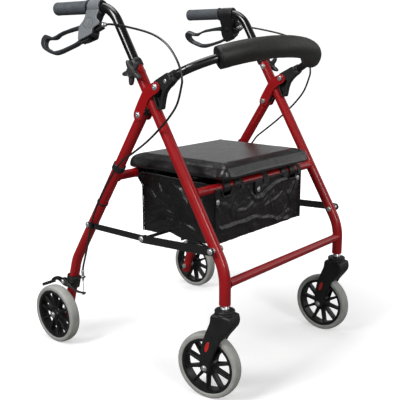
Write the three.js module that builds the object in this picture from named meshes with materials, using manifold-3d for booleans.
// Four-wheeled rollator walker: padded seat with a bag below, folding frame, loop brakes and a
// looped backrest. Millimetres, +Z up, forward is -Y, the user's right hand is -X, floor at Z = 0.
import * as THREE from 'three';
import { mergeVertices } from 'three/addons/utils/BufferGeometryUtils.js';
import Module from 'manifold-3d';

const wasm = await Module();
wasm.setup();

// ---------------------------------------------------------------- driving dimensions
// Pairs of numbers are [y, z] places in side view.
const LEG_X = 240.5; // centre plane of the legs, each side
const LEG_R = 12.7;
const LEG_WALL = 1.4;
const LEG_BORE_R = LEG_R - LEG_WALL;
const FRONT_Y = -285; // upright part of the front leg
const FRONT_FOOT_Z = 223.5;
const FRONT_KNEE_Z = 299; // where the front leg starts to lean back
const FRONT_TOP_Z = 722;
const FRONT_BEND_R = 120;
const LEAN = 0.594; // rearward run of the front leg per unit of height
const REAR_KNEE = [201.4, 226];
const REAR_FOOT = [250.9, 58];
const REAR_BEND_R = 100;
const REAR_OVERRUN = 14; // rear leg beyond the fold pivot
const HANDLE_R = 11;
const HANDLE_WALL = 1.5;
const HANDLE_Z = 849; // height of the horizontal hand grip
const HANDLE_BEND_R = 70;
const HANDLE_END_Y = 228;
const HANDLE_INSERT = 160; // length of handle tube inside the leg
const FOLD = [-50, 614]; // fold pivot, rear leg to hinge plates
const BACK_PIVOT = [-103.5, 677];
const SEAT_BAR = [-193.8, 452.6]; // bar across the front legs that carries the seat hinge
const REAR_BAR = [48.8, 461.5]; // bar across the rear legs that the seat rests on
const LOW_BAR = [FRONT_Y, 268.8]; // lowest bar across the front legs
const BRACE_FRONT = [-263, 342.8];
const BRACE_MIDDLE = [-60, 333];
const BRACE_REAR = [132, 333];
const KNOB_Z = 707;
const WHEEL_R = 76.2; // 6 inch wheel
const REAR_AXLE = [246, WHEEL_R];
const TRAIL = 38.4; // caster trail
const CASTER_HUB = [TRAIL, WHEEL_R];
const PIN_R = 4; // every bolt shank, rivet, axle and pin
const PIN_BORE_R = 4.4; // fit in moulded parts
const BOLT_HOLE_R = 4.5; // fit in the metal frame

// out is the sign of the outward x direction. Angles are in degrees.
// casterTurn: resting swivel; brakeTilt: outward turn of the brake body on its grip;
// leverLift: resting lift of the lever; cableShift: share of the cable table's rearward shift.
const SIDES = [
  {
    name: 'right', out: -1, legX: -LEG_X,
    casterTurn: 9.3, brakeTilt: 16, leverLift: 0, cableShift: 0,
  },
  {
    name: 'left', out: 1, legX: LEG_X,
    casterTurn: -1.9, brakeTilt: 27, leverLift: 4.5, cableShift: 1,
  },
];

const rad = THREE.MathUtils.degToRad;
const vec = (x, y, z) => new THREE.Vector3(x, y, z);

// ---------------------------------------------------------------- solids and booleans
// Closed manifold from a three.js geometry, turned right side out.
function solid(geometry) {
  const bare = geometry.clone();
  for (const key of Object.keys(bare.attributes)) {
    if (key !== 'position') bare.deleteAttribute(key);
  }
  const merged = mergeVertices(bare, 1e-4);
  const positions = merged.attributes.position.array;
  const triangles = [];
  let volume = 0;
  for (let i = 0; i < merged.index.count; i += 3) {
    const corners = [0, 1, 2].map((k) => merged.index.getX(i + k));
    if (new Set(corners).size < 3) continue;
    const [p, q, r] = corners.map((corner) => vec(0, 0, 0).fromArray(positions, corner * 3));
    volume += p.dot(q.cross(r));
    triangles.push(...corners);
  }
  if (volume < 0) {
    for (let i = 0; i < triangles.length; i += 3) {
      [triangles[i], triangles[i + 1]] = [triangles[i + 1], triangles[i]];
    }
  }
  return new wasm.Manifold(new wasm.Mesh({
    numProp: 3,
    vertProperties: Float32Array.from(positions),
    triVerts: Uint32Array.from(triangles),
  }));
}
const union = (...parts) => parts.flat().reduce((sum, part) => sum.add(part));
const minus = (body, ...cuts) => cuts.flat().reduce((rest, cut) => rest.subtract(cut), body);

function geometryOf(manifold) {
  const { numProp, vertProperties, triVerts } = manifold.getMesh();
  const positions = new Float32Array((vertProperties.length / numProp) * 3);
  for (let i = 0; i < positions.length / 3; i++) {
    for (let k = 0; k < 3; k++) positions[i * 3 + k] = vertProperties[i * numProp + k];
  }
  const geometry = new THREE.BufferGeometry();
  geometry.setAttribute('position', new THREE.BufferAttribute(positions, 3));
  geometry.setIndex(Array.from(triVerts));
  return geometry;
}

// ---------------------------------------------------------------- flat outlines
// Points on an arc, both ends included; angles in degrees.
function arc([cx, cy], radius, from, to, steps) {
  return Array.from({ length: steps + 1 }, (_, i) => {
    const angle = rad(from + ((to - from) * i) / steps);
    return [cx + radius * Math.cos(angle), cy + radius * Math.sin(angle)];
  });
}
// Regular polygon with its first corner half a step round.
function ring([cx, cy], radius, sides = 8) {
  return Array.from({ length: sides }, (_, i) => {
    const angle = (2 * Math.PI * (i + 0.5)) / sides;
    return [cx + radius * Math.cos(angle), cy + radius * Math.sin(angle)];
  });
}
// A bar with round ends between two pins.
function roundedBar(start, end, halfWidth) {
  const heading = THREE.MathUtils.radToDeg(Math.atan2(end[1] - start[1], end[0] - start[0]));
  return [
    ...arc(end, halfWidth, heading - 90, heading + 90, 6),
    ...arc(start, halfWidth, heading + 90, heading + 270, 6),
  ];
}
// Plan outline from y0 (front) to y1 (rear) with its own half width at each end.
function roundedPlan(frontHalf, rearHalf, y0, y1, r) {
  return [
    ...arc([frontHalf - r, y0 + r], r, -90, 0, 4),
    ...arc([rearHalf - r, y1 - r], r, 0, 90, 4),
    ...arc([-(rearHalf - r), y1 - r], r, 90, 180, 4),
    ...arc([-(frontHalf - r), y0 + r], r, 180, 270, 4),
  ];
}
function outline(points, holes = []) {
  const flat = (list) => list.map(([x, y]) => new THREE.Vector2(x, y));
  const shape = new THREE.Shape(flat(points));
  for (const hole of holes) shape.holes.push(new THREE.Path(flat(hole)));
  return shape;
}

// ---------------------------------------------------------------- tubes, slabs and turnings
// A path through exact corner points, one extrusion step per corner.
class CornerPath extends THREE.Curve {
  constructor(points) {
    super();
    this.points = points;
    this.last = points.length - 1;
  }

  getPointAt(u, target = vec(0, 0, 0)) {
    return target.copy(this.points[Math.round(u * this.last)]);
  }

  // Mean of the directions before and after the corner, so that the joint is mitred.
  getTangentAt(u, target = vec(0, 0, 0)) {
    const corner = Math.round(u * this.last);
    const direction = (i) => this.points[i + 1].clone().sub(this.points[i]).normalize();
    const before = direction(Math.max(corner, 1) - 1);
    const after = direction(Math.min(corner, this.last - 1));
    return target.copy(before).add(after).normalize();
  }
}
function tube(points, radius, sides = 12) {
  const section = outline(ring([0, 0], radius, sides));
  section.closePath();
  return solid(new THREE.ExtrudeGeometry(section, {
    steps: points.length - 1,
    extrudePath: new CornerPath(points),
  }));
}
const rod = (start, end, radius, sides = 8) => tube([start, end], radius, sides);
const crossRod = (x0, x1, [y, z], radius, sides) => rod(vec(x0, y, z), vec(x1, y, z), radius, sides);

// Coaxial rods across the walker at [y, z]. Rows are [from, to, radius, sides], with from and
// to measured in the out direction from centreX.
function crossRods(place, rows, out = 1, centreX = 0) {
  return rows.map(([from, to, radius, sides]) => (
    crossRod(centreX + out * from, centreX + out * to, place, radius, sides)));
}

// Replaces the inner corners of a line with arcs, one segment per stepDegrees or so.
function bent(points, radius, stepDegrees = 10) {
  const path = [points[0]];
  for (let i = 1; i < points.length - 1; i++) {
    const corner = points[i];
    const toPrevious = points[i - 1].clone().sub(corner).normalize();
    const toNext = points[i + 1].clone().sub(corner).normalize();
    const half = toPrevious.angleTo(toNext) / 2;
    const turn = Math.PI - 2 * half;
    const setback = radius / Math.tan(half);
    const bisector = toPrevious.clone().add(toNext).normalize();
    const centre = corner.clone().add(bisector.multiplyScalar(radius / Math.sin(half)));
    const first = corner.clone().addScaledVector(toPrevious, setback).sub(centre);
    const final = corner.clone().addScaledVector(toNext, setback).sub(centre);
    const axis = first.clone().cross(final).normalize();
    const steps = Math.max(2, Math.round(THREE.MathUtils.radToDeg(turn) / stepDegrees));
    for (let k = 0; k <= steps; k++) {
      path.push(centre.clone().add(first.clone().applyAxisAngle(axis, (turn * k) / steps)));
    }
  }
  path.push(points[points.length - 1]);
  return path;
}
// The same line, longer at both ends.
function extended(points, extra) {
  const beyond = (end, inner) => end.clone().sub(inner).normalize().multiplyScalar(extra).add(end);
  return [
    beyond(points[0], points[1]),
    ...points.slice(1, -1),
    beyond(points.at(-1), points.at(-2)),
  ];
}

const prism = (points, depth, holes) => (
  new THREE.ExtrudeGeometry(outline(points, holes), { depth, bevelEnabled: false }));

// Flat shape given as [y, z] corners, standing between two x values.
function slab(points, x0, x1, holes) {
  const upright = new THREE.Matrix4().makeBasis(vec(0, 1, 0), vec(0, 0, 1), vec(1, 0, 0));
  const geometry = prism(points, Math.abs(x1 - x0), holes);
  return solid(geometry.applyMatrix4(upright.setPosition(Math.min(x0, x1), 0, 0)));
}
function box([x0, x1], [y0, y1], [z0, z1]) {
  const geometry = new THREE.BoxGeometry(Math.abs(x1 - x0), y1 - y0, z1 - z0);
  return solid(geometry.translate((x0 + x1) / 2, (y0 + y1) / 2, (z0 + z1) / 2));
}
// Profile of [radius, along] points turned about an axis through origin.
function turned(profile, origin, direction, segments) {
  const geometry = new THREE.LatheGeometry(profile.map(([r, h]) => new THREE.Vector2(r, h)), segments);
  geometry.applyQuaternion(new THREE.Quaternion().setFromUnitVectors(vec(0, 1, 0), direction));
  return solid(geometry.translate(origin.x, origin.y, origin.z));
}

// ---------------------------------------------------------------- frame lines
const leanDir = vec(0, LEAN, 1).normalize();
const frontY = (z) => FRONT_Y + LEAN * (z - FRONT_KNEE_Z);
const leanPoint = (x, z) => vec(x, frontY(z), z); // on the leaning part of the front leg
const KNOB = [frontY(KNOB_Z), KNOB_Z];

const frontLeg = (x) => bent([
  vec(x, FRONT_Y, FRONT_FOOT_Z),
  vec(x, FRONT_Y, FRONT_KNEE_Z),
  leanPoint(x, FRONT_TOP_Z),
], FRONT_BEND_R);

const rearDir = vec(0, REAR_KNEE[0] - FOLD[0], REAR_KNEE[1] - FOLD[1]).normalize();
const rearLeg = (x) => bent([
  vec(x, ...FOLD).addScaledVector(rearDir, -REAR_OVERRUN),
  vec(x, ...REAR_KNEE),
  vec(x, ...REAR_FOOT),
], REAR_BEND_R);

// Starts inside the leg and bends back into the grip.
const handleLine = (x) => bent([
  leanPoint(x, FRONT_TOP_Z).addScaledVector(leanDir, -HANDLE_INSERT),
  leanPoint(x, HANDLE_Z),
  vec(x, HANDLE_END_Y, HANDLE_Z),
], HANDLE_BEND_R, 8);

const frameBar = (place, radius, sides) => crossRod(-LEG_X, LEG_X, place, radius, sides);
const legHole = (x, place) => crossRod(x - 20, x + 20, place, BOLT_HOLE_R);

// ---------------------------------------------------------------- front frame
const PLATE_IN = 13.4; // faces of each hinge plate, from the leg centre plane
const PLATE_OUT = 16.4;
const WELD = { x: 12.8, z0: 644, z1: 672, radius: 1.9 };
const HINGE_PLATE = [ // [y, z]
  [-36, 610], [-38, 622], [-64, 664], [-72, 675], [-94, 685], [-105, 689], [-115, 684],
  [-117.5, 674], [-113, 666], [-88, 654], [-80, 644], [-63, 610], [-58, 602], [-48, 600], [-40, 603],
];

// Legs, two bars and hinge plates welded into one.
function frontFrame() {
  const legs = [];
  const bores = [];
  const plates = [];
  const welds = [];
  const holes = [];
  const plateHoles = [ring(FOLD, BOLT_HOLE_R), ring(BACK_PIVOT, BOLT_HOLE_R)];
  for (const { out, legX } of SIDES) {
    legs.push(tube(frontLeg(legX), LEG_R));
    bores.push(tube(extended(frontLeg(legX), 2), LEG_BORE_R));
    for (const face of [-1, 1]) {
      const weldX = legX + face * WELD.x;
      plates.push(slab(HINGE_PLATE, legX + face * PLATE_IN, legX + face * PLATE_OUT, plateHoles));
      welds.push(rod(leanPoint(weldX, WELD.z0), leanPoint(weldX, WELD.z1), WELD.radius, 6));
    }
    holes.push(crossRod(legX, legX + out * 20, KNOB, BOLT_HOLE_R));
    holes.push(legHole(legX, BRACE_FRONT));
  }
  const tubes = union(legs, frameBar(LOW_BAR, 9.7, 10), frameBar(SEAT_BAR, 10, 12));
  const hollows = union(bores, frameBar(LOW_BAR, 8.2, 8), frameBar(SEAT_BAR, 8.6, 8));
  return minus(union(minus(tubes, hollows), plates, welds), holes);
}

// Plastic collar that guides the handle tube at the top of the leg.
function legCollar({ legX }) {
  const profile = [
    [13.4, -5], [15, -5], [15.2, 5], [13.8, 11.5], [11.6, 12.5], [11.6, 0.4], [13.4, 0.4], [13.4, -5],
  ];
  return turned(profile, leanPoint(legX, FRONT_TOP_Z), leanDir, 12);
}

// Bolt through a pair of hinge plates: shank, round outer head, six-sided inner end.
function plateBolt(place, { out, legX }) {
  const face = PLATE_OUT + 0.3;
  return union(crossRods(place, [
    [face + 0.4, -face - 0.4, PIN_R, 8],
    [face, face + 3.2, 6.4, 8],
    [-face, -face - 5, 6.4, 6],
  ], out, legX));
}

// Plugged into the foot of the front leg.
function casterStem({ legX }) {
  return turned([
    [0, 168], [6, 168], [6, 214.2], [9.5, 214.4], [9.5, 223], [8, 223], [8, 226],
    [10.6, 227], [10.6, 252], [0, 252],
  ], vec(legX, FRONT_Y, 0), vec(0, 0, 1), 10);
}

// ---------------------------------------------------------------- rear frame
// Legs and seat rest bar.
function rearFrame() {
  const legs = SIDES.map(({ legX }) => tube(rearLeg(legX), LEG_R));
  const bores = SIDES.map(({ legX }) => tube(extended(rearLeg(legX), 2), LEG_BORE_R, 8));
  const holes = SIDES.flatMap(({ legX }) => (
    [FOLD, BRACE_REAR, REAR_AXLE].map((place) => legHole(legX, place))));
  const tubes = union(legs, frameBar(REAR_BAR, 11, 12));
  return minus(tubes, union(bores, frameBar(REAR_BAR, 9.5, 8)), holes);
}

// ---------------------------------------------------------------- side braces
// inner and outer are the x distances of the link's faces; head sizes are of its rivets.
const REAR_LINK = { inner: 256.6, outer: 259.8, halfWidth: 7.5, headR: 6, headHeight: 2.6 };
const FRONT_LINK = { inner: 260.8, outer: 264.6, halfWidth: 9.5, headR: 6.2, headHeight: 2.8 };
const CROSS_ROD_HALF = 256.2;

const rivetHead = ({ outer, headR, headHeight }) => [outer - 0.5, outer + headHeight, headR, 8];

// Flat bar from the leg to the middle joint, with its rivet through the leg.
function braceLink(legPin, link, { out }) {
  return union(
    slab(roundedBar(legPin, BRACE_MIDDLE, link.halfWidth), out * link.inner, out * link.outer),
    crossRods(legPin, [
      [link.outer - 0.5, LEG_X - 14.5, PIN_R, 8],
      rivetHead(link),
      [LEG_X - 13.2, LEG_X - 16.2, 6, 8],
    ], out),
  );
}
// Also carries the rivet head of the middle joint.
const frontBraceLink = (side) => union(
  braceLink(BRACE_FRONT, FRONT_LINK, side),
  crossRods(BRACE_MIDDLE, [rivetHead(FRONT_LINK)], side.out),
);

// ---------------------------------------------------------------- seat
const SEAT_TOP = 505;
const SEAT_UNDER = 472.9;
const BOARD_THICKNESS = 12;
const CUSHION_LIFT = 12.4; // cushion underside above the board underside
const CUSHION_EDGE = 7; // height of each rounded edge
const SEAT_BORE_R = 10.8; // clearance round the seat bar

// Board with two hooks round the seat bar and two notches for the hinge leaf.
function seatBoard() {
  const [barY, barZ] = SEAT_BAR;
  const board = prism(roundedPlan(170, 176, -229, 65, 16), BOARD_THICKNESS);
  const hooks = [];
  const cuts = [crossRod(-240, 240, SEAT_BAR, SEAT_BORE_R, 10)];
  for (const s of [-1, 1]) {
    hooks.push(
      crossRod(s * 122, s * 146, SEAT_BAR, 14.6, 12),
      box([s * 122, s * 146], [barY - 9, barY + 9], [barZ + 8, SEAT_UNDER + 3]),
    );
    cuts.push(
      crossRod(s * 83, s * 107, SEAT_BAR, 14.9, 12),
      box([s * 80, s * 110], [barY - 4, barY + 14.9], [barZ, SEAT_UNDER + 0.2]),
    );
  }
  return minus(union(solid(board.translate(0, 0, SEAT_UNDER)), hooks), cuts);
}
function seatCushion() {
  const pad = new THREE.ExtrudeGeometry(outline(roundedPlan(168, 174, -228, 63, 9)), {
    depth: SEAT_TOP - SEAT_UNDER - CUSHION_LIFT - 2 * CUSHION_EDGE,
    bevelEnabled: true,
    bevelThickness: CUSHION_EDGE,
    bevelSize: 8,
    bevelSegments: 3,
  });
  return solid(pad.translate(0, 0, SEAT_UNDER + CUSHION_LIFT + CUSHION_EDGE));
}
// Hinge leaf that lets the seat ride up as the frame folds.
function seatHingeLeaf() {
  const [barY, barZ] = SEAT_BAR;
  const barrels = [-1, 1].map((s) => crossRod(s * 85, s * 105, SEAT_BAR, 13.8, 12));
  const leaf = box([-105, 105], [barY + 10.9, barY + 30], [barZ + 3, SEAT_UNDER - 1.2]);
  return minus(union(barrels, leaf), crossRod(-240, 240, SEAT_BAR, SEAT_BORE_R, 10));
}

// ---------------------------------------------------------------- storage bag under the seat
const BAG_HALF_WIDTH = 175;
const BAG_SIDE_WALL = 3.5;
const BAG_OUTSIDE = [ // [y, z]
  [-203, 331], [-196, 322], [-150, 320], [-88, 324], [-74, 340], [-46, 340], [-34, 328], [10, 332],
  [20, 345], [23, 400], [21, 430], [34, 446], [34, 452], [-178, 452], [-186, 440], [-201, 437],
];
const BAG_INSIDE = [ // [y, z], open past the top
  [-199, 334], [-193, 326], [-150, 324], [-90, 328], [-76, 344], [-44, 344], [-32, 332], [6, 336],
  [16.5, 347], [19.5, 400], [17.5, 431], [30.5, 447.5], [30.5, 470], [-183, 470], [-197, 450],
];
function bag() {
  const insideHalf = BAG_HALF_WIDTH - BAG_SIDE_WALL;
  return minus(
    slab(BAG_OUTSIDE, -BAG_HALF_WIDTH, BAG_HALF_WIDTH),
    slab(BAG_INSIDE, -insideHalf, insideHalf),
  );
}

// ---------------------------------------------------------------- backrest loop
const BACK_TILT = rad(26.7); // slope of the loop
const BACK_HALF = 240;
const BACK_BULGE = 140;
const BACK_START = [-140, 698];
const BACK_TAIL = 26; // straight run of each end into its holder
const BACK_TUBE_R = 9.8;
const FOAM_R = 25;
const HOLDER_HALF = 12.9;
const HOLDER_CLAMP = [ // [y, z]
  [-92, 671], [-92.5, 684], [-97, 691], [-106.5, 695.5], [-146, 715.2], [-152.5, 703],
  [-156, 692.5], [-145, 683], [-133, 676], [-120, 671], [-105, 664],
];
const HOLDER_WEB = [ // [y, z]
  [-92, 671], [-93.4, 656], [-104.5, 629.5], [-107.5, 627.5], [-117.5, 629], [-119.4, 631],
  [-123, 650], [-127.8, 664.5], [-136, 674.5], [-145, 683], [-156, 692.5], [-130, 690],
];

// Point in the tilted plane of the loop, forward by the given distance along the slope.
const backPoint = (x, forward) => vec(
  x,
  BACK_START[0] - forward * Math.cos(BACK_TILT),
  BACK_START[1] + forward * Math.sin(BACK_TILT),
);
// Point on the half ellipse, from 0 degrees at the right to 180 at the left.
const loopAt = (degrees) => backPoint(
  -BACK_HALF * Math.cos(rad(degrees)),
  BACK_BULGE * Math.sin(rad(degrees)),
);
function backLine() {
  const loop = Array.from({ length: 19 }, (_, i) => loopAt(10 * i));
  return [backPoint(-BACK_HALF, -BACK_TAIL), ...loop, backPoint(BACK_HALF, -BACK_TAIL)];
}
function backrestFoam() {
  const line = Array.from({ length: 11 }, (_, i) => loopAt(40 + 11 * i));
  return minus(tube(line, FOAM_R, 14), tube(extended(line, 3), BACK_TUBE_R + 1.6, 8));
}
// Clamp on the loop's end, with a hanging web that stops against the rear leg.
// The same moulding serves both sides, so the web is not mirrored.
function backrestHolder({ legX }) {
  return minus(
    union(
      slab(HOLDER_CLAMP, legX - HOLDER_HALF, legX + HOLDER_HALF),
      slab(HOLDER_WEB, legX - HOLDER_HALF, legX + 1.1),
    ),
    tube(extended(backLine(), 0.5), BACK_TUBE_R + 0.8, 12),
    legHole(legX, BACK_PIVOT),
  );
}

// ---------------------------------------------------------------- handles and grips
const HOLE_PITCH = 28; // height adjustment holes along the handle tube

function handleTube({ out, legX }) {
  const line = handleLine(legX);
  const holes = [];
  for (let k = -3; k <= 2; k++) {
    const { y, z } = leanPoint(legX, KNOB_Z).addScaledVector(leanDir, HOLE_PITCH * (k + 0.5));
    holes.push(crossRod(legX + out * 5, legX + out * 14, [y, z], 3.1, 6));
  }
  return minus(
    tube(line, HANDLE_R),
    tube(extended(line, 2), HANDLE_R - HANDLE_WALL, 8),
    holes,
  );
}
function grip({ legX }) {
  const profile = [
    [0, 228.4], [11.6, 228.4], [11.6, 115.6], [17.2, 115.6], [17.2, 119.4], [15.2, 120],
    [15.2, 226], [13, 232], [0, 232],
  ];
  return turned(profile, vec(legX, 0, HANDLE_Z), vec(0, 1, 0), 14);
}

// ---------------------------------------------------------------- hand brakes
// Outlines are [u, v]: u runs back along the grip, v down from its axis. w points outward.
const LEVER_PIVOT = [98, 41];
const CABLE_V = 41.6;
const CHEEK = [
  [114, 6], [114, 34], [122, 48], [122, 70], [112, 80], [96, 75], [80, 69], [80, 64],
  [81.5, 57], [82, 40.5], [78, 27], [74, 12], [71, 6],
];
const FRONT_WALL = [
  [71, 6], [74, 12], [78, 27], [81, 40], [80, 57], [79.5, 64], [81, 70], [85, 71.5],
  [84.2, 64], [84.2, 56], [85.2, 40], [82.5, 26], [80, 16], [84, 12], [84, 5],
];
const CABLE_STOP = [
  [84, 38], [76, 41], [67, 45.8], [55, 46.3], [54, 49], [66, 54], [73, 57], [80, 58], [84, 58],
];
const NECK = [[72, 8], [113, 8], [113, 15.5], [72, 15.5]];
const COVER = [
  [107, 0], [68, 0], [68, 16.5], [72.2, 28], [59.5, 36], [57, 40], [59, 44], [78, 53.4],
  [77, 65.4], [92.5, 72], [118, 81], [121, 79], [124.5, 58], [125, 47], [112, 32.5], [109.5, 19],
];
const LEVER_RIM = [
  [112, 36], [120, 40.5], [136.7, 44], [160.7, 49], [178.8, 53.5], [190, 56], [203.4, 61],
  [215, 66], [227.5, 69.5], [236.8, 68.5], [246.9, 65], [256.5, 63.5], [262.5, 66.5], [267, 73],
  [267.5, 82.4], [263.5, 90.4], [254, 98.5], [233.8, 106.5], [216.8, 111], [201.2, 111],
  [184.8, 107], [160, 98.5], [135.9, 89.8], [124.8, 84.5], [108, 82], [97, 77], [94, 66],
  [88.5, 52], [87, 44], [88, 36], [93, 31], [99, 29.5], [106, 32],
];
const LEVER_EYE = [
  [126, 52], [152.3, 53.5], [168.7, 56.5], [183.2, 59.5], [201.8, 65], [209.3, 70],
  [219.3, 74.5], [244, 75], [249.5, 77.5], [251, 82.4], [249.5, 88.5], [243, 94.5],
  [228.7, 99.7], [219.6, 103.3], [208.3, 103.6], [185.1, 99.5], [149.2, 88], [132.8, 81],
  [124, 74], [121, 62],
];

// Builders that work in the tilted u, v, w frame of one brake.
function brakeFrame({ out, legX, brakeTilt }) {
  const tilt = rad(brakeTilt);
  const down = vec(out * Math.sin(tilt), 0, -Math.cos(tilt));
  const outward = vec(out * Math.cos(tilt), 0, Math.sin(tilt));
  const frame = new THREE.Matrix4().makeBasis(vec(0, 1, 0), down, outward);
  frame.setPosition(legX, 0, HANDLE_Z);
  const at = (u, v, w) => vec(u, v, w).applyMatrix4(frame);
  return {
    at,
    plate: (points, w0, w1, holes) => (
      solid(prism(points, w1 - w0, holes).translate(0, 0, w0).applyMatrix4(frame))),
    pin: (w0, w1, radius, sides = 12) => (
      rod(at(...LEVER_PIVOT, w0), at(...LEVER_PIVOT, w1), radius, sides)),
    alongGrip: (u0, u1, radius) => rod(at(u0, 0, 0), at(u1, 0, 0), radius, 16),
  };
}
function brakeHousing(side) {
  const { at, plate, pin, alongGrip } = brakeFrame(side);
  return minus(
    union(
      alongGrip(67.5, 115.2, 14.2),
      plate(CHEEK, -13.5, -10),
      minus(plate(FRONT_WALL, -13.5, 9.5), alongGrip(60, 109, 16.95)),
      plate(CABLE_STOP, -6, 6),
      rod(at(82, CABLE_V, 0), at(52, CABLE_V, 0), 4.4, 10),
      plate(NECK, -13.5, -0.2),
    ),
    alongGrip(60, 140, 11.4),
    pin(-20, 20, PIN_BORE_R),
    tube(extended(handleLine(side.legX), 5), HANDLE_R + 0.6),
  );
}
// Outer side plate with a half collar over the housing.
function brakeCover(side) {
  const { plate, pin, alongGrip } = brakeFrame(side);
  const innerHalf = plate([[50, -30], [140, -30], [140, 30], [50, 30]], -30, 0.2);
  return minus(
    union(plate(COVER, 10.4, 14.2), minus(alongGrip(68, 107, 16.6), innerHalf)),
    alongGrip(50, 140, 14.6),
    pin(0, 20, PIN_BORE_R),
  );
}
function brakePivotPin(side) {
  const { pin } = brakeFrame(side);
  return union(pin(-15.4, 15.4, PIN_R, 8), pin(14.6, 16.6, 7.5, 16), pin(-16.4, -13.9, 6.5, 8));
}
// Loop lever, turned about its pivot by the resting lift.
function brakeLever(side) {
  const cos = Math.cos(rad(side.leverLift));
  const sin = Math.sin(rad(side.leverLift));
  const [pivotU, pivotV] = LEVER_PIVOT;
  const lifted = (points) => points.map(([u, v]) => {
    const du = u - pivotU;
    const dv = v - pivotV;
    return [pivotU + du * cos + dv * sin, pivotV - du * sin + dv * cos];
  });
  const holes = [lifted(LEVER_EYE), ring(LEVER_PIVOT, PIN_BORE_R)];
  return brakeFrame(side).plate(lifted(LEVER_RIM), -6.5, 6.5, holes);
}

// ---------------------------------------------------------------- clamp knobs
const STAR = { lobes: 5, points: 30, turn: rad(61), valleyR: 13.5, lobeHeight: 15.5, sharpness: 1.6 };

function clampKnob({ out, legX }) {
  const star = Array.from({ length: STAR.points }, (_, i) => {
    const angle = STAR.turn + (2 * Math.PI * i) / STAR.points;
    const wave = 0.5 + 0.5 * Math.cos(STAR.lobes * (angle - STAR.turn));
    const radius = STAR.valleyR + STAR.lobeHeight * Math.pow(wave, STAR.sharpness);
    return [KNOB[0] + radius * Math.cos(angle), KNOB[1] + radius * Math.sin(angle)];
  });
  return union(
    slab(star, legX + out * 17.6, legX + out * 28.5),
    crossRods(KNOB, [[14.2, 18, 8, 10], [28, 32.2, 9.6, 12], [11.8, 15, PIN_R, 8]], out, legX),
  );
}

// ---------------------------------------------------------------- wheels
const REAR_WHEEL_X = 277.3;
const RIM = { outerR: 63.4, innerR: 57.5, half: 12.6 };
const SPOKES = 10;
const SPOKE_HALF = 7; // half thickness along the axle

// Tyre and rim are centred on the origin, with the axle along X.
function tyre() {
  return turned([
    [64, -12.6], [66.5, -14], [71.5, -13.8], [75.4, -10], [WHEEL_R, -4], [WHEEL_R, 4],
    [75.4, 10], [71.5, 13.8], [66.5, 14], [64, 12.6], [64, -12.6],
  ], vec(0, 0, 0), vec(1, 0, 0), 24);
}
function rimAndSpokes() {
  const { outerR, innerR, half } = RIM;
  const band = [[innerR, -half], [outerR, -half], [outerR, half], [innerR, half], [innerR, -half]];
  const taper = [[15, -4.4], [59, -3], [59, 3], [15, 4.4]]; // [out from hub, across the spoke]
  const spokes = Array.from({ length: SPOKES }, (_, i) => {
    const angle = (2 * Math.PI * (i + 0.25)) / SPOKES;
    const cos = Math.cos(angle);
    const sin = Math.sin(angle);
    const points = taper.map(([u, v]) => [u * cos - v * sin, u * sin + v * cos]);
    return slab(points, -SPOKE_HALF, SPOKE_HALF);
  });
  const hub = crossRods([0, 0], [[-15, 15, 15, 10], [-SPOKE_HALF, SPOKE_HALF, 21, 10]]);
  return minus(
    union(turned(band, vec(0, 0, 0), vec(1, 0, 0), 24), hub, spokes),
    crossRod(-20, 20, [0, 0], PIN_BORE_R),
  );
}
const atRearWheel = (part, { out }) => part.translate([out * REAR_WHEEL_X, ...REAR_AXLE]);

// Shaft, outer end, outer spacer, six-sided inner end.
const rearAxle = ({ out }) => union(crossRods(REAR_AXLE, [
  [LEG_X - 14, 294, PIN_R, 8],
  [292.7, 296.2, 7, 8],
  [LEG_X + 13.1, LEG_X + 21.3, 8, 8],
  [LEG_X - 13.1, LEG_X - 18, 7, 6],
], out));

// ---------------------------------------------------------------- casters
// Built about the swivel axis at x = y = 0, then swivelled and moved under the leg.
const FORK_HALF = 23;
const THROAT_HALF = 17;
const FORK_PROFILE = [ // [y, z]
  [-21, 203], [-26, 197], [-27.5, 188], [-24, 177], [-12, 160], [-2, 146], [9, 126], [18, 104],
  [23.5, 88], [25, 76],
  ...arc(CASTER_HUB, 13.6, 195, 345, 5),
  [52, 84], [51, 104], [46, 134], [36, 162], [27, 184], [22, 203],
];
const underLeg = (part, { legX, casterTurn }) => (
  part.rotate([0, 0, casterTurn]).translate([legX, FRONT_Y, 0]));
const atCasterWheel = (part, side) => underLeg(part.translate([0, ...CASTER_HUB]), side);

function casterFork(side) {
  const crown = [[0, 201], [22.4, 201], [22.4, 212], [20.4, 213.6], [0, 213.6]];
  const throat = union(
    crossRod(-THROAT_HALF, THROAT_HALF, CASTER_HUB, 80.5, 24),
    box([-THROAT_HALF, THROAT_HALF], [-20, 80], [-10, WHEEL_R]),
  );
  return underLeg(minus(
    union(
      slab(FORK_PROFILE, -FORK_HALF, FORK_HALF),
      turned(crown, vec(0, 0, 0), vec(0, 0, 1), 16),
    ),
    throat,
    rod(vec(0, 0, 164), vec(0, 0, 220), 6.8, 10), // stem bore
    crossRod(-30, 30, CASTER_HUB, PIN_BORE_R),
  ), side);
}
const casterAxle = (side) => underLeg(union(crossRods(CASTER_HUB, [
  [-24, 24, PIN_R, 8], [-26.5, -23.4, 7, 8], [23.4, 26.5, 7, 8],
])), side);

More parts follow.
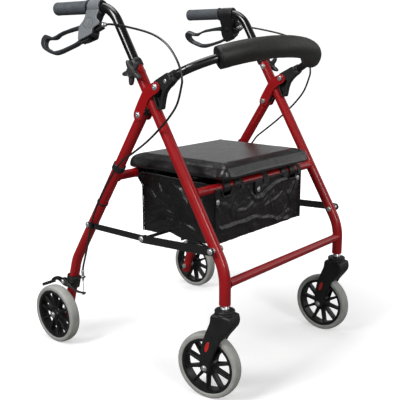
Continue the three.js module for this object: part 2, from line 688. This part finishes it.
// ---------------------------------------------------------------- wheel brakes
const ARM_PIVOT = [240, 160];
const ARM_IN = 17.2; // faces of the arm, from the leg centre plane
const ARM_OUT = 20.4;
const CLAMP_LOW_Z = 146;
const CLAMP_HIGH_Z = 180;
const CABLE_END_Y = 159;
const BRACKET_EAR = [ // [y, z]
  [233, 172], [246, 168], [250, 160], [246, 152], [234, 149], [222, 154], [222, 168],
];
const ARM = [ // [y, z]
  [154, 150], [154, 146.5], [186, 142], [212, 150], [232, 149], [243, 151.5], [252, 157],
  [262, 160.5], [273, 156], [286, 148.5], [291.5, 151], [281, 163], [262, 171], [250, 171],
  [240, 170.5], [228, 166], [212, 158], [188, 148.5],
];
const ARM_TOE = [[154, 146.5], [166, 144.8], [166, 148.2], [154, 150]];

function rearLegY(z) {
  const [kneeY, kneeZ] = REAR_KNEE;
  const [footY, footZ] = REAR_FOOT;
  return footY + ((kneeY - footY) * (z - footZ)) / (kneeZ - footZ);
}
// Clamp on the rear leg, with a finger drilled for the cable and an ear for the arm pivot.
function brakeBracket({ out, legX }) {
  const lowY = rearLegY(CLAMP_LOW_Z);
  const highY = rearLegY(CLAMP_HIGH_Z);
  const clamp = [
    [highY - 17, CLAMP_HIGH_Z], [lowY - 17, CLAMP_LOW_Z],
    [lowY + 17, CLAMP_LOW_Z], [highY + 17, CLAMP_HIGH_Z],
  ];
  const finger = [[highY - 10, 183], [154, 193], [153, 188.5], [highY - 14, 172]];
  const cableX = legX + out * 18;
  return minus(
    union(
      slab(clamp, legX - 15.6, legX + 15.6),
      slab(finger, legX + out * 12.9, legX + out * 22),
      slab(BRACKET_EAR, legX + out * 13.4, legX + out * 16.6),
    ),
    rod(vec(legX, rearLegY(120), 120), vec(legX, rearLegY(200), 200), LEG_R + 0.35, 16),
    crossRod(legX, legX + out * 30, ARM_PIVOT, PIN_BORE_R),
    rod(vec(cableX, CABLE_END_Y, 170), vec(cableX, CABLE_END_Y, 210), 2.9),
  );
}
// Arm with a toe, a pivot pin and a shoe across the top of the tyre, curved to its tread.
function brakeArm({ out, legX }) {
  const inner = legX + out * ARM_IN;
  const outer = legX + out * ARM_OUT;
  const shoe = [...arc(REAR_AXLE, 79.9, 72, 58, 4), ...arc(REAR_AXLE, 87, 58, 72, 4)];
  return union(
    slab(ARM, inner, outer),
    slab(shoe, inner, out * 289),
    slab(ARM_TOE, inner - out * 3.5, outer),
    crossRods(ARM_PIVOT, [
      [13.2, 23, PIN_R, 8], [ARM_OUT - 0.4, ARM_OUT + 3, 6.2, 8],
    ], out, legX),
  );
}

// ---------------------------------------------------------------- brake cables
const CABLE_R = 2.4;
const CABLE_X = 263.6; // distance from the centre plane along most of the run
const CABLE_RUN = [ // [y, z, rearward shift of the left cable]
  [-23, 804, 4], [-98, 789, 9], [-141, 770, 12], [-168, 744, 14], [-184, 715, 16],
  [-188, 684, 18], [-175, 647, 20], [-152, 617, 20], [-122, 589, 19], [-86, 560, 17],
  [-44, 532, 12], [-8, 510, 5], [13, 491, 0], [42, 457, 0], [79, 404, 0], [99, 368, 0],
  [116, 328, 0],
];
const CABLE_END = [[262.8, 135, 268], [258.8, 155, 216], [258.6, 158.6, 196.5]]; // [outward, y, z]

function brakeCable(side) {
  const { out, cableShift } = side;
  const start = brakeFrame(side).at(51, CABLE_V, 0);
  const through = [
    start,
    vec(start.x - out * 0.1, 36, start.z + 0.2),
    ...CABLE_RUN.map(([y, z, shift]) => vec(out * CABLE_X, y + shift * cableShift, z)),
    ...CABLE_END.map(([x, y, z]) => vec(out * x, y, z)),
  ];
  const curve = new THREE.CatmullRomCurve3(through, false, 'centripetal');
  return tube(curve.getSpacedPoints(26), CABLE_R, 6);
}

// ---------------------------------------------------------------- materials
const finish = (settings) => () => new THREE.MeshStandardMaterial(settings);
const RED = finish({ color: 0xa0191e, roughness: 0.25, metalness: 0.3 });
const BLACK_TUBE = finish({ color: 0x111214, roughness: 0.25, metalness: 0.4 });
const BLACK = finish({ color: 0x1c1c1e, roughness: 0.55, metalness: 0 });
const GREY = finish({ color: 0x7d8287, roughness: 0.5, metalness: 0 });
const GRIP = finish({ color: 0x555c64, roughness: 0.8, metalness: 0 });
const FOAM = finish({ color: 0x2d2d2d, roughness: 0.9, metalness: 0 });
const TYRE = finish({ color: 0x969692, roughness: 0.85, metalness: 0 });
const ZINC = finish({ color: 0xb8bcc0, roughness: 0.3, metalness: 1 });
const VINYL = finish({ color: 0x1a1a1c, roughness: 0.4, metalness: 0 });
const NYLON = finish({ color: 0x141416, roughness: 0.6, metalness: 0 });

// ---------------------------------------------------------------- assembly
const group = new THREE.Group();
group.name = 'rollator_walker';

function add(name, part, material) {
  const mesh = new THREE.Mesh(geometryOf(part.asOriginal().simplify(0.02)), material());
  mesh.name = name;
  group.add(mesh);
}
// Rows are [name, builder that takes a side, material].
function addBothSides(...rows) {
  for (const side of SIDES) {
    for (const [name, build, material] of rows) add(`${name}_${side.name}`, build(side), material);
  }
}

add('front_frame_weldment', frontFrame(), RED);
addBothSides(
  ['leg_collar', legCollar, BLACK],
  ['fold_bolt', (side) => plateBolt(FOLD, side), ZINC],
  ['backrest_bolt', (side) => plateBolt(BACK_PIVOT, side), ZINC],
  ['caster_stem', casterStem, ZINC],
);
add('rear_frame_weldment', rearFrame(), RED);
addBothSides(
  ['brace_rear_link', (side) => braceLink(BRACE_REAR, REAR_LINK, side), BLACK_TUBE],
  ['brace_front_link', frontBraceLink, BLACK_TUBE],
);
add('brace_cross_rod', crossRod(-CROSS_ROD_HALF, CROSS_ROD_HALF, BRACE_MIDDLE, PIN_R), BLACK_TUBE);
add('seat_board', seatBoard(), BLACK);
add('seat_cushion', seatCushion(), VINYL);
add('seat_hinge_leaf', seatHingeLeaf(), BLACK);
add('bag', bag(), NYLON);
add('backrest_tube', tube(backLine(), BACK_TUBE_R, 8), BLACK_TUBE);
add('backrest_foam', backrestFoam(), FOAM);
addBothSides(['backrest_holder', backrestHolder, BLACK]);
addBothSides(
  ['handle_tube', handleTube, BLACK_TUBE],
  ['grip', grip, GRIP],
  ['brake_housing', brakeHousing, BLACK],
  ['brake_cover', brakeCover, GREY],
  ['brake_pivot_pin', brakePivotPin, BLACK],
  ['brake_lever', brakeLever, BLACK],
);
addBothSides(['clamp_knob', clampKnob, BLACK]);
addBothSides(
  ['rear_tyre', (side) => atRearWheel(tyre(), side), TYRE],
  ['rear_rim', (side) => atRearWheel(rimAndSpokes(), side), BLACK],
  ['rear_axle', rearAxle, ZINC],
);
addBothSides(
  ['caster_fork', casterFork, BLACK],
  ['caster_tyre', (side) => atCasterWheel(tyre(), side), TYRE],
  ['caster_rim', (side) => atCasterWheel(rimAndSpokes(), side), BLACK],
  ['caster_axle', casterAxle, ZINC],
);
addBothSides(['brake_bracket', brakeBracket, BLACK], ['brake_arm', brakeArm, BLACK]);
addBothSides(['brake_cable', brakeCable, BLACK]);

export default group;
